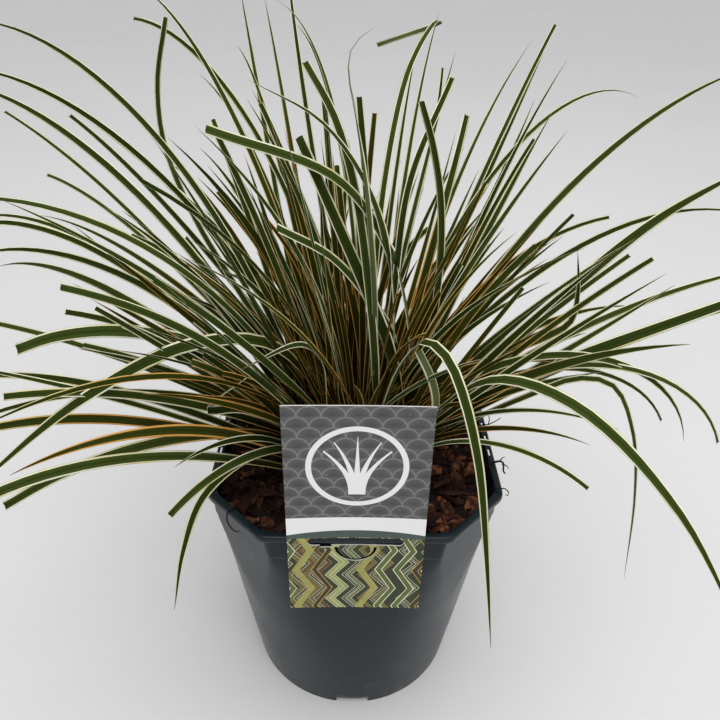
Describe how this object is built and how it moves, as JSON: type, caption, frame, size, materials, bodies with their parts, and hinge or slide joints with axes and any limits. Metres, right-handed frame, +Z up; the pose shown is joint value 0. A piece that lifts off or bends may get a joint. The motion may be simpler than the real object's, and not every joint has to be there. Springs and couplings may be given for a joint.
{
  "type": "potted sedge",
  "caption": "Variegated sedge tuft with arching striped blades, growing in bark mix in a dark plastic nursery pot with a blank card label hung on its lip.",
  "frame": {"origin": "middle of the underside of the pot's base, on the surface the pot stands on", "axes": "+Z up; -Y the side of the pot that carries the label; +X to the right seen from the label's side"},
  "size_m": [0.7297, 0.54, 0.4993],
  "materials": {
    "pot": "moulded dark slate grey, slightly glossy",
    "mix": "damp dark red-brown bark chips",
    "leaves": "satin leaf, deep green middle with cream to orange margins",
    "card": null
  },
  "bodies": {
    "root": {"nursery_pot": "pot", "growing_mix": "mix", "sedge_tuft": "leaves", "label_card": "card"}
  },
  "joints": []
}
